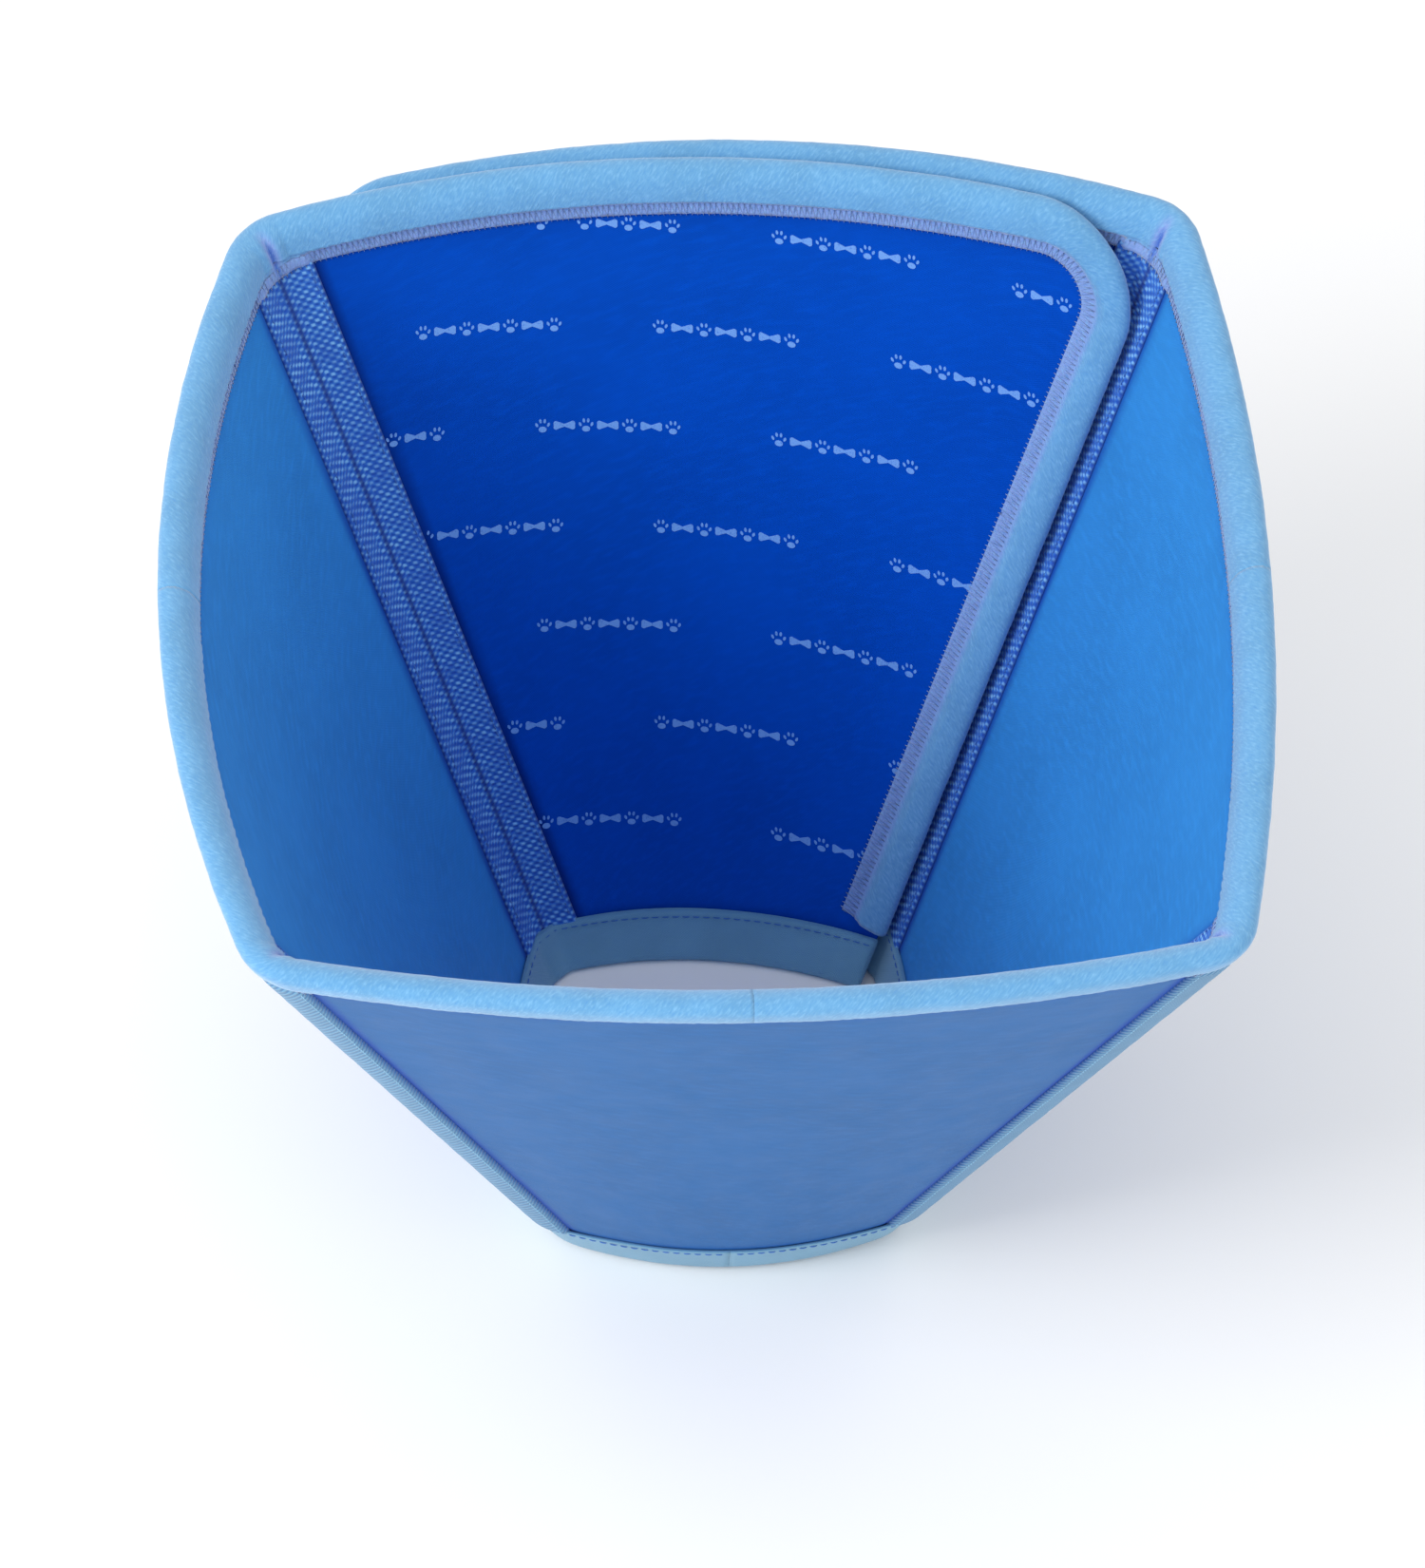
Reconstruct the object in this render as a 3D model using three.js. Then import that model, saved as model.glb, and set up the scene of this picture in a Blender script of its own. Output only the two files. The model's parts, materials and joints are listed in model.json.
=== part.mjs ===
import * as THREE from "three";

// A folding pet cone with four sides. It stands on its neck edge and opens upwards: +Z runs from the
// neck to the wide rim and the throat side faces -Y. The back is two flaps that overlap and are held
// by hook-and-loop strips: the inner one hangs on the left side, the outer one on the right side.
// Lengths are in millimetres.

// The cone's outer faces, from crease line to crease line.
const NECK_HALF = 55.5;
const RIM_HALF = 150;
const HEIGHT = 267;
const SLANT = Math.hypot(HEIGHT, RIM_HALF - NECK_HALF);
const TAPER = (RIM_HALF - NECK_HALF) / SLANT;

// How far each side bulges at mid width, at its neck edge and at its rim.
const THROAT_BULGE = [13, 18];
const LEFT_BULGE = [9.5, 26.5];
const RIGHT_BULGE = [6, 15.5];
const BACK_BULGE = [11, 30];

// A panel is a cover, a stiff board and a lining, with a little air between sewn layers.
const AIR = 0.3;
const SKIN = 0.8;
const BOARD = 3;
const STACK = 2 * SKIN + BOARD + 2 * AIR;

// The bindings are channels that hold a panel's edge.
const FLEECE = 2.6;
const FLEECE_REACH = 12;
const KNIT = 1;
const KNIT_REACH = 19;
const CHANNEL_CHAMFER = 0.2;

// Distances in from a crease line, and the free ends of the flaps.
const PANEL_INSET = 10;
const BINDING_INSET = 12;
const CORNER_REACH = BINDING_INSET - AIR;
const FREE_END_INSET = 9;
const FREE_END_RADIUS = 27;

// The flaps lie side by side, this far apart from outer face to outer face.
const FLAP_SPACING = 11.6;

// The outer flap hangs a little askew: its free end sits lower by this share of the way up the slope.
const OUTER_FLAP_SINK = 0.024;

// Tapes that cover the creases, and the fastening between the flaps.
const TAPE = 1;
const WEBBING_REACH = 17;
const WEBBING_TURN = 8;
const HOOK_AND_LOOP = 2.6;
const STRIP_HEIGHT = 26;
const STRIP_END_INSET = 34;
const HOOK_WIDTH = 0.4;
const LOOP_WIDTH = 0.9;

const PANEL_LOW = AIR + KNIT;
const PANEL_TOP = SLANT - AIR - FLEECE;
const COLUMNS = 16;
const ROWS = 2;
const ARC_STEPS = 6;

const COLOURS = {
  outer_cover: 0x4a82bb,
  core_board: 0xd8dde0,
  inner_lining: 0x2671c4,
  front_binding: 0x72b4e4,
  neck_binding: 0x6a94b4,
  seam_tape: 0x71a1be,
  crease_webbing: 0x3069bf,
  hook: 0x1d3f86,
  loop: 0x2a5cb0,
};
const FLAP_LINING_COLOUR = 0x0247b8;

const halfWidth = (s) => NECK_HALF + TAPER * s;
const heightAt = (s) => (s * HEIGHT) / SLANT;
const steps = (count) => Array.from({ length: count + 1 }, (_, i) => i / count);

/**
 * A side of the cone as a function of x across it, s up its slope and depth in from its outer face.
 * For the flaps, lean moves it in and sink moves it down the slope, by the share of the way across.
 */
function makeSide(turn, [low, high], lean = () => 0, sink = () => 0) {
  const up = new THREE.Vector3(0, 0, 1);
  const face = (x, s, depth) => {
    const share = x / halfWidth(s);
    const level = s * (1 - sink(share));
    const bulge = low + ((high - low) * level) / SLANT;
    const out = halfWidth(level) + bulge * (1 - share * share) - depth - lean(share);
    return new THREE.Vector3(x, -out, heightAt(level)).applyAxisAngle(up, turn);
  };
  const crease = (s, depth) => {
    const at = halfWidth(s) - depth;
    return new THREE.Vector3(at, -at, heightAt(s)).applyAxisAngle(up, turn);
  };
  return { face, crease };
}

const quarter = Math.PI / 2;
const innerLean = (share) => (FLAP_SPACING * (1 - share)) / 2;
const outerLean = (share) => (-FLAP_SPACING * (1 + share)) / 2;
const outerSink = (share) => (OUTER_FLAP_SINK * (1 + share)) / 2;
const sides = {
  throat: makeSide(0, THROAT_BULGE),
  right: makeSide(quarter, RIGHT_BULGE),
  left: makeSide(-quarter, LEFT_BULGE),
  inner_flap: makeSide(2 * quarter, BACK_BULGE, innerLean),
  outer_flap: makeSide(2 * quarter, BACK_BULGE, outerLean, outerSink),
};

/** Turns the triangles over if they enclose a negative volume. */
function facingOut(positions, index) {
  const [a, b, c] = [new THREE.Vector3(), new THREE.Vector3(), new THREE.Vector3()];
  let volume = 0;
  for (let i = 0; i < index.length; i += 3) {
    a.fromArray(positions, 3 * index[i]);
    b.fromArray(positions, 3 * index[i + 1]);
    c.fromArray(positions, 3 * index[i + 2]);
    volume += a.dot(b.cross(c));
  }
  return volume < 0 ? index.toReversed() : index;
}

/**
 * A closed body between an outer and an inner chain of (a, depth) points, carried through stations:
 * functions that place such a point in space.
 */
function loft(stations, outerChain, innerChain) {
  const loop = [...outerChain, ...innerChain.toReversed()];
  const size = loop.length;
  const positions = stations.flatMap((at) => loop.flatMap(([a, depth]) => at(a, depth).toArray()));
  const index = [];
  const quad = (p, q, r, t) => index.push(p, q, r, p, r, t);
  for (let k = 0; k + 1 < stations.length; k++) {
    for (let i = 0; i < size; i++) {
      const j = (i + 1) % size;
      const corners = [k * size + i, k * size + j, (k + 1) * size + j, (k + 1) * size + i];
      // Both faces of a layer are split along the same diagonals, so nested layers stay parallel.
      const turned = i < outerChain.length ? corners : [...corners.slice(1), corners[0]];
      quad(...turned);
    }
  }
  const last = (stations.length - 1) * size;
  for (let i = 0; i + 1 < outerChain.length; i++) {
    const across = size - 1 - i;
    quad(i, across, across - 1, i + 1);
    quad(last + i, last + i + 1, last + across - 1, last + across);
  }
  const geometry = new THREE.BufferGeometry();
  geometry.setAttribute("position", new THREE.Float32BufferAttribute(positions, 3));
  geometry.setIndex(facingOut(positions, index));
  return geometry;
}

/**
 * The edge of a side at s, as points with the directions in which a binding reaches inwards.
 * The directions lean with the creases, so the binding's ends run along them.
 */
function straightEdge(s, inset, inwards) {
  const reach = halfWidth(s) - inset;
  return steps(COLUMNS).map((share) => {
    const side = 2 * share - 1;
    return { x: side * reach, s, across: side * inwards * TAPER, up: inwards };
  });
}

/**
 * A flap's edge: along the top from its crease, round the corner at its free end and down that end.
 * toward is the free end's direction in x, 1 or -1.
 */
function flapEdge(toward, creaseInset, lowest) {
  const turned = quarter + Math.atan(TAPER);
  const tangent = FREE_END_RADIUS * Math.tan(turned / 2);
  const from = -(halfWidth(PANEL_TOP) - creaseInset);
  const to = halfWidth(PANEL_TOP) - FREE_END_INSET - tangent;
  const centre = PANEL_TOP - FREE_END_RADIUS;
  const top = steps(COLUMNS).map((share) => ({
    x: from + share * (to - from),
    s: PANEL_TOP,
    across: (1 - share) * TAPER,
    up: -1,
  }));
  const arc = steps(ARC_STEPS)
    .slice(1)
    .map((share) => {
      const angle = quarter - share * turned;
      return {
        x: to + FREE_END_RADIUS * Math.cos(angle),
        s: centre + FREE_END_RADIUS * Math.sin(angle),
        across: -Math.cos(angle),
        up: -Math.sin(angle),
      };
    });
  const corner = arc.at(-1);
  const end = steps(2 * ROWS)
    .slice(1)
    .map((share) => {
      const s = corner.s + share * (lowest - corner.s);
      return { ...corner, x: halfWidth(s) - FREE_END_INSET, s };
    });
  const mirror = (p) => ({ ...p, x: toward * p.x, across: toward * p.across });
  return { top: [...top, ...arc].map(mirror), end: end.map(mirror) };
}

/** One layer of a side, from its neck edge up to the given top edge, between two depths. */
function layer(face, top, insetLow, insetHigh, outerDepth, innerDepth) {
  const edges = (s) => [-(halfWidth(s) - insetLow), halfWidth(s) - insetHigh];
  const stations = top.map((edge) => {
    const [low, high] = edges(edge.s);
    const share = (edge.x - low) / (high - low);
    return (a, depth) => {
      const s = PANEL_LOW + a * (edge.s - PANEL_LOW);
      const [left, right] = edges(s);
      return face(left + share * (right - left), s, depth);
    };
  });
  const chain = (depth) => steps(ROWS).map((a) => [a, depth]);
  return loft(stations, chain(outerDepth), chain(innerDepth));
}

/** The outer and inner chains of a channel with the given wall and reach over a panel's edge. */
function channel(wall, reach, chamfer) {
  const chain = (out, cut) => [
    [reach, -out],
    [cut - out, -out],
    [-out, cut - out],
    [-out, STACK + out - cut],
    [cut - out, STACK + out],
    [reach, STACK + out],
  ];
  return [chain(AIR + wall, chamfer), chain(AIR, CHANNEL_CHAMFER)];
}

const fleeceChannel = channel(FLEECE, FLEECE_REACH, FLEECE / 2);
const knitChannel = channel(KNIT, KNIT_REACH, KNIT / 4);

/** A binding along an edge of a side. */
function binding(face, edge, [outer, inner]) {
  const stations = edge.map(
    ({ x, s, across, up }) =>
      (a, depth) =>
        face(x + a * across, s + a * up, depth),
  );
  return loft(stations, outer, inner);
}

/**
 * A body that turns a corner, from one side to the next, with its chains given as (s, depth).
 * It bends within turn of the crease line and follows the sides from there to its reach.
 */
function cornerPiece(before, after, reach, turn, outer, inner) {
  const bend = steps(ARC_STEPS).map((share) => (s, depth) => {
    const half = halfWidth(s);
    const start = before.face(half - turn, s, depth);
    const end = after.face(turn - half, s, depth);
    return new THREE.QuadraticBezierCurve3(start, before.crease(s, depth), end).getPoint(share);
  });
  const first = (s, depth) => before.face(halfWidth(s) - reach, s, depth);
  const last = (s, depth) => after.face(reach - halfWidth(s), s, depth);
  const stations = reach > turn ? [first, ...bend, last] : bend;
  return loft(stations, outer, inner);
}

/** A channel's chains at a corner, measured up the slope from an edge at s. */
const onEdge = (chains, s, inwards) => chains.map((chain) => chain.map(([a, d]) => [s + a * inwards, d]));

/** A flat strip on a side, its two ends given as functions of s. */
function strip(face, middle, from, to, outerDepth, innerDepth) {
  const stations = steps(COLUMNS / 2).map((share) => (a, depth) => {
    const s = middle + (a - 0.5) * STRIP_HEIGHT;
    return face(from(s) + share * (to(s) - from(s)), s, depth);
  });
  return loft(
    stations,
    [[0, outerDepth], [1, outerDepth]],
    [[0, innerDepth], [1, innerDepth]],
  );
}

const collar = new THREE.Group();

function add(name, geometry, colour, roughness = 0.8) {
  geometry.computeVertexNormals();
  const material = new THREE.MeshStandardMaterial({ color: colour, roughness, metalness: 0 });
  const mesh = new THREE.Mesh(geometry, material);
  mesh.name = name;
  collar.add(mesh);
}

/** The three layers of a side. */
function addLayers(name, top, insetLow, insetHigh, liningColour) {
  const { face } = sides[name];
  const make = (outer, inner) => layer(face, top, insetLow, insetHigh, outer, inner);
  add(`${name}_outer_cover`, make(0, SKIN), COLOURS.outer_cover, 0.5);
  add(`${name}_core_board`, make(SKIN + AIR, SKIN + AIR + BOARD), COLOURS.core_board);
  add(`${name}_inner_lining`, make(STACK - SKIN, STACK), liningColour, 0.5);
}

function addBindings(name, frontEdge, neckEdge) {
  const { face } = sides[name];
  add(`${name}_front_binding`, binding(face, frontEdge, fleeceChannel), COLOURS.front_binding, 1);
  add(`${name}_neck_binding`, binding(face, neckEdge, knitChannel), COLOURS.neck_binding);
}

/** The throat or a side panel, with a crease at both ends. */
function addPanel(name) {
  addLayers(name, straightEdge(PANEL_TOP, PANEL_INSET, -1), PANEL_INSET, PANEL_INSET, COLOURS.inner_lining);
  addBindings(
    name,
    straightEdge(PANEL_TOP, BINDING_INSET, -1),
    straightEdge(PANEL_LOW, BINDING_INSET, 1),
  );
}

/** A flap, with a crease at one end and a rounded free end at the other. */
function addFlap(name, toward) {
  const lowest = PANEL_LOW + KNIT_REACH + FLEECE;
  const insets = toward > 0 ? [PANEL_INSET, FREE_END_INSET] : [FREE_END_INSET, PANEL_INSET];
  const front = flapEdge(toward, BINDING_INSET, lowest);
  addLayers(name, flapEdge(toward, PANEL_INSET, lowest).top, ...insets, FLAP_LINING_COLOUR);
  addBindings(name, [...front.top, ...front.end], straightEdge(PANEL_LOW, BINDING_INSET, 1));
}

/** The four pieces that bend at a crease. */
function addCorner(name, before, after) {
  const piece = (reach, turn, [outer, inner]) =>
    cornerPiece(sides[before], sides[after], reach, turn, outer, inner);
  const tapeLow = PANEL_LOW + KNIT_REACH + AIR;
  const tapeTop = PANEL_TOP - FLEECE_REACH - AIR;
  const tape = (outer, inner) =>
    [outer, inner].map((depth) => steps(ROWS).map((a) => [tapeLow + a * (tapeTop - tapeLow), depth]));
  const front = piece(CORNER_REACH, CORNER_REACH, onEdge(fleeceChannel, PANEL_TOP, -1));
  const neck = piece(CORNER_REACH, CORNER_REACH, onEdge(knitChannel, PANEL_LOW + AIR, 1));
  const seam = piece(CORNER_REACH, CORNER_REACH, tape(-AIR - TAPE, -AIR));
  const webbing = piece(WEBBING_REACH, WEBBING_TURN, tape(STACK + AIR, STACK + AIR + TAPE));
  add(`${name}_front_binding_corner`, front, COLOURS.front_binding, 1);
  add(`${name}_neck_binding_corner`, neck, COLOURS.neck_binding);
  add(`${name}_seam_tape`, seam, COLOURS.seam_tape);
  add(`${name}_crease_webbing`, webbing, COLOURS.crease_webbing);
}

/** Hook patches at the outer flap's free end, and the longer loop strips that they grip. */
function addFastening() {
  const levels = { lower: 0.24, middle: 0.53, upper: 0.82 };
  const to = (s) => halfWidth(s) - STRIP_END_INSET;
  const from = (width) => (s) => to(s) - width * halfWidth(s);
  for (const [level, share] of Object.entries(levels)) {
    const at = share * SLANT;
    const hook = [STACK + AIR, STACK + AIR + HOOK_AND_LOOP];
    const loop = [-AIR - HOOK_AND_LOOP, -AIR];
    const patch = strip(sides.outer_flap.face, at, from(HOOK_WIDTH), to, ...hook);
    const band = strip(sides.inner_flap.face, at, from(LOOP_WIDTH), to, ...loop);
    add(`${level}_hook_patch`, patch, COLOURS.hook, 1);
    add(`${level}_loop_strip`, band, COLOURS.loop, 1);
  }
}

for (const name of ["throat", "left", "right"]) {
  addPanel(name);
}
addFlap("inner_flap", -1);
addFlap("outer_flap", 1);
addCorner("near_right", "throat", "right");
addCorner("near_left", "left", "throat");
addCorner("far_right", "right", "outer_flap");
addCorner("far_left", "inner_flap", "left");
addFastening();

// The frame's origin is the middle of the collar's box, on the surface that the neck edge stands on.
const box = new THREE.Box3().setFromObject(collar);
const middle = box.getCenter(new THREE.Vector3());
collar.position.set(-middle.x, -middle.y, -box.min.z);

export default collar;
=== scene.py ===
"""A folding fabric pet cone with four padded sides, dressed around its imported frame.

The cone stands on its neck edge and opens upwards, and its throat side faces -Y. Covers and linings,
padded bindings, crease tapes, stitches and fastening tapes follow the same sides as the frame's
solids. Sizes are in millimetres until a mesh is made, and are measured from the cone's own axis.
"""

import json
import math
import random
from collections import namedtuple

import bpy
import numpy as np
from mathutils import Matrix, Vector, noise


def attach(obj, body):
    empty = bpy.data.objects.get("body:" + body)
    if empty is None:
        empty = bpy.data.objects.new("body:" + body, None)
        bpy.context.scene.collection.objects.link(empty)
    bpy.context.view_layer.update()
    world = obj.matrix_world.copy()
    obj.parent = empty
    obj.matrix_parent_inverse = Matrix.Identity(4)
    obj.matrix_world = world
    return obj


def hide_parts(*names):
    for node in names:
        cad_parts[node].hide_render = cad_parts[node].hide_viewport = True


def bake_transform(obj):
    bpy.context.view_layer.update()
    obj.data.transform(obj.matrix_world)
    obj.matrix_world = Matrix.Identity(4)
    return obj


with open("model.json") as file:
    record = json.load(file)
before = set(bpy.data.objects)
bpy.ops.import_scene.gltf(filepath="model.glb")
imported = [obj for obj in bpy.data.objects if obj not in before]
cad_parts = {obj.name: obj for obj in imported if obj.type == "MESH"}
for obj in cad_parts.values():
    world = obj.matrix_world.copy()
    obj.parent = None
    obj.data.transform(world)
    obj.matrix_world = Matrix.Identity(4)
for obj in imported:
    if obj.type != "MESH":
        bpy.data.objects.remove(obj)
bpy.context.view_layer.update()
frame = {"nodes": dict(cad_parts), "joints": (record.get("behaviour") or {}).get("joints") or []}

MM = 0.001
SEED = 7

# The cone's outer faces, from crease line to crease line.
NECK_HALF = 55.5
RIM_HALF = 150.0
HEIGHT = 267.0
SLANT = math.hypot(HEIGHT, RIM_HALF - NECK_HALF)
TAPER = (RIM_HALF - NECK_HALF) / SLANT

# How far each side bulges at mid width, at its neck edge and at its rim.
THROAT_BULGE = (13.0, 18.0)
LEFT_BULGE = (9.5, 26.5)
RIGHT_BULGE = (6.0, 15.5)
BACK_BULGE = (11.0, 30.0)

# The layers of a panel, and the space between sewn layers.
AIR = 0.3
SKIN = 0.8
BOARD = 3.0
STACK = 2 * SKIN + BOARD + 2 * AIR
PANEL_LOW = 1.3
PANEL_TOP = SLANT - 2.9

# The flaps at the back lie side by side, this far apart from outer face to outer face.
FLAP_SPACING = 11.6
OUTER_FLAP_SINK = 0.024
FREE_END_INSET = 9.0
FREE_END_RADIUS = 27.0

# The bindings. Their ends lap past the lines where they meet.
BINDING_LAP = 0.12
FLEECE_RISE = 2.9
FLEECE_ROLL = 9.0
FLEECE_REACH = 13.2
FLEECE_TURN = 11.5
FLEECE_SPACING = 1.3
KNIT_RISE = 1.2
KNIT_REACH = 19.0
KNIT_TURN = 9.0
KNIT_SPACING = 2.0

# The cloth simulation of the fleece, in its own units: size, cloth, frames and the furthest a point moves.
SIM_SCALE = 0.1
SIM_MASS = 0.05
SIM_PRESSURE = 3.0
SIM_SLACK = 0.03
SIM_FRAMES = 15
SIM_MOST = 0.6

# How far the tapes over a crease lift the bindings' edges, where that lift ends outside and inside the
# cone, measured from the upright plane through the crease, and how wide the slope down beside it is.
TAPE_LIFT = 1.3
KNIT_LIFT = 0.35
LIFTED_OUTSIDE = 10.5
LIFTED_INSIDE = 12.5
LIFT_SLOPE = 2.5

# The tapes over the creases. Their ends are tucked in under the bindings.
TAPE_TUCK = 2.2
TAPE_THICK = 1.0
SEAM_RISE = 1.7
SEAM_REACH = 10.8
SEAM_TURN = 6.0
WEBBING_REACH = 17.0
WEBBING_TURN = 7.5
WEBBING_RIB = 1.5
WEBBING_YARN = 1.8

# The cloth of the panels.
COVER_INSET = 8.5
LINING_INSET = 9.5
CLOTH_THICK = 0.8 * SKIN
PANEL_SPACING = 4.0
GROOVE_WIDTH = 2.2

# The fastening between the flaps.
STRIP_LEVELS = {"lower": 0.24, "middle": 0.53, "upper": 0.82}
STRIP_HEIGHT = 26.0
STRIP_END_INSET = 34.0
STRIP_BASE = 1.1
PILE_TOP = 2.5
HOOK_WIDTH = 0.4
LOOP_WIDTH = 0.9

# The bristles of the fastening. A stage has a height, a share of the bend and a radius.
PILE_PITCH_ACROSS = 1.7
PILE_PITCH_UP = 1.5
PILE_MARGIN = 2.0
PILE_JITTER = 0.3
PILE_BEND = 0.9
PILE_STAGES = ((0.0, 0.0, 0.3), (0.6, 0.4, 0.24), (1.0, 1.0, 0.12))

# The marks printed on the inner flap's lining.
MARK_ROWS = 7
MARK_STEP_ACROSS = 76.0
MARK_STEP_DOWN = 35.0
MARK_SHIFT = 34.0
MARK_TOP = 19.0
MARK_TILT = 0.09

# Sewing threads. A ring of a stitch is a place along it, a share of its thickness and a lift.
THREAD_SIDES = 4
THREAD_RADIUS = 0.24
STITCH_SIDES = 6
STITCH_RINGS = ((-0.5, 0.25, -0.6), (-0.33, 0.9, 0.1), (0.0, 1.0, 0.45), (0.33, 0.9, 0.1), (0.5, 0.25, -0.6))

# The creases lie round the cone's axis, so their joints' mean is a point on it.
ORIGIN = np.mean([joint["pos_m"] for joint in frame["joints"]], axis=0) * (1, 1, 0)


# ---------------------------------------------------------------------------------------------
# The sides of the cone.


def half_width(s):
    """Half the width of a side's outer face, s up its slope."""
    return NECK_HALF + TAPER * s


class Side:
    """A side of the cone: x runs across it, s up its slope and depth in from its outer face."""

    def __init__(self, quarter_turns, bulge, lean=lambda share: 0, sink=lambda share: 0):
        self.turn = quarter_turns * math.pi / 2
        self.bulge = bulge
        self.lean = lean
        self.sink = sink

    def place(self, x, out, s):
        x, out, s = np.broadcast_arrays(x, out, s)
        cos = math.cos(self.turn)
        sin = math.sin(self.turn)
        return np.stack([x * cos + out * sin, x * sin - out * cos, s * HEIGHT / SLANT], axis=-1)

    def face(self, x, s, depth):
        share = x / half_width(s)
        level = s * (1 - self.sink(share))
        low, high = self.bulge
        bulge = low + (high - low) * level / SLANT
        out = half_width(level) + bulge * (1 - share**2) - depth - self.lean(share)
        return self.place(x, out, level)

    def crease(self, s, depth):
        """The crease line at the side's +x end."""
        at = half_width(s) - depth
        return self.place(at, at, s)


def inner_lean(share):
    return FLAP_SPACING * (1 - share) / 2


def outer_lean(share):
    return -FLAP_SPACING * (1 + share) / 2


def outer_sink(share):
    return OUTER_FLAP_SINK * (1 + share) / 2


SIDES = {
    "throat": Side(0, THROAT_BULGE),
    "right": Side(1, RIGHT_BULGE),
    "left": Side(-1, LEFT_BULGE),
    "inner_flap": Side(2, BACK_BULGE, inner_lean),
    "outer_flap": Side(2, BACK_BULGE, outer_lean, outer_sink),
}
FLAP_TOWARD = {"inner_flap": -1, "outer_flap": 1}

Corner = namedtuple("Corner", "before after direction")
CORNERS = {
    "near_left": Corner("left", "throat", (1, -1, 0)),
    "near_right": Corner("throat", "right", (1, 1, 0)),
    "far_right": Corner("right", "outer_flap", (-1, 1, 0)),
    "far_left": Corner("inner_flap", "left", (-1, -1, 0)),
}

# An edge that a binding covers: where it is, which way is into the panel, and how it turns a corner.
Edge = namedtuple("Edge", "s up turn")
RIM = Edge(PANEL_TOP, -1, FLEECE_TURN)
NECK = Edge(PANEL_LOW, 1, KNIT_TURN)


def steps_over(length, spacing):
    """Shares from 0 to 1, spaced about this far apart over the length."""
    return np.linspace(0, 1, max(2, round(length / spacing) + 1))


def straight_run(side, edge, start, stop, spacing, chain):
    """Rings along an edge between two shares of the way from a side's middle to its corners."""
    reach = half_width(edge.s) - edge.turn
    x = reach * (start + (stop - start) * steps_over(reach * abs(stop - start), spacing))[:, None]
    a, depth = chain.T
    return side.face(x + a * edge.up * TAPER * x / reach, edge.s + edge.up * a, depth)


def corner_run(before, after, edge, spacing, chain):
    """Rings that turn from one side to the next."""
    a, depth = chain.T
    s = edge.s + edge.up * a
    return turned(before, after, s, depth, edge.turn, steps_over(1.6 * edge.turn, spacing))


def turned(before, after, s, depth, turn, shares):
    """Points on a round corner between two sides, for arrays of s and depth and for each share."""
    half = half_width(s)
    start = before.face(half - turn, s, depth)
    end = after.face(turn - half, s, depth)
    t = shares[:, None, None]
    return (1 - t) ** 2 * start + 2 * t * (1 - t) * before.crease(s, depth) + t**2 * end


def flap_outline(toward, inset, lowest, spacing):
    """A flap's edge from its crease, round its free corner and down its free end.

    Returns x, s and the directions in which a binding reaches into the flap.
    """
    angle_turned = math.pi / 2 + math.atan(TAPER)
    tangent = FREE_END_RADIUS * math.tan(angle_turned / 2)
    start = inset - half_width(PANEL_TOP)
    stop = half_width(PANEL_TOP) - FREE_END_INSET - tangent
    top = steps_over(stop - start, spacing)
    along_top = np.stack(
        [start + top * (stop - start), 0 * top + PANEL_TOP, (1 - top) * TAPER, 0 * top - 1], axis=1
    )
    angle = math.pi / 2 - angle_turned * steps_over(FREE_END_RADIUS * angle_turned, spacing)[1:]
    centre = PANEL_TOP - FREE_END_RADIUS
    round_corner = np.stack(
        [
            stop + FREE_END_RADIUS * np.cos(angle),
            centre + FREE_END_RADIUS * np.sin(angle),
            -np.cos(angle),
            -np.sin(angle),
        ],
        axis=1,
    )
    last = round_corner[-1]
    down = last[1] + steps_over(last[1] - lowest, spacing)[1:] * (lowest - last[1])
    end = np.stack(
        [half_width(down) - FREE_END_INSET, down, 0 * down + last[2], 0 * down + last[3]], axis=1
    )
    outline = np.concatenate([along_top, round_corner, end])
    return outline * (toward, 1, toward, 1)


def flap_rim_run(name, spacing, chain):
    """Rings of the rim binding from a flap's crease to the foot of its free end."""
    lowest = PANEL_LOW + KNIT_REACH + FLEECE_RISE
    outline = flap_outline(FLAP_TOWARD[name], FLEECE_TURN, lowest, spacing)
    x, s, across, up = (column[:, None] for column in outline.T)
    a, depth = chain.T
    return SIDES[name].face(x + a * across, s + a * up, depth)


def join_runs(*runs):
    """Rings one after the other, each run starting where the last one ended."""
    return np.concatenate([runs[0]] + [run[1:] for run in runs[1:]])


def edge_rings(corner_name, edge, spacing, chain):
    """Rings of a binding round one crease, from mid side to mid side or to a flap's free end."""
    corner = CORNERS[corner_name]
    before = SIDES[corner.before]
    after = SIDES[corner.after]
    middle = corner_run(before, after, edge, spacing, chain)
    if corner.before in FLAP_TOWARD and edge is RIM:
        first = flap_rim_run(corner.before, spacing, chain)[::-1]
    else:
        first = straight_run(before, edge, -1 if corner.before in FLAP_TOWARD else 0, 1, spacing, chain)
    if corner.after in FLAP_TOWARD and edge is RIM:
        last = flap_rim_run(corner.after, spacing, chain)
    else:
        last = straight_run(after, edge, -1, 1 if corner.after in FLAP_TOWARD else 0, spacing, chain)
    return join_runs(first, middle, last)


# ---------------------------------------------------------------------------------------------
# Meshes from grids of points.


def step_lengths(points):
    """The lengths of the steps along a line of points."""
    return np.linalg.norm(np.diff(points, axis=0), axis=1)


def lengths_along(points):
    """How far along a line each of its points is."""
    return np.concatenate([[0], np.cumsum(step_lengths(points))])


def grid_length(grid):
    return step_lengths(grid.mean(axis=1)).sum()


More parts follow.
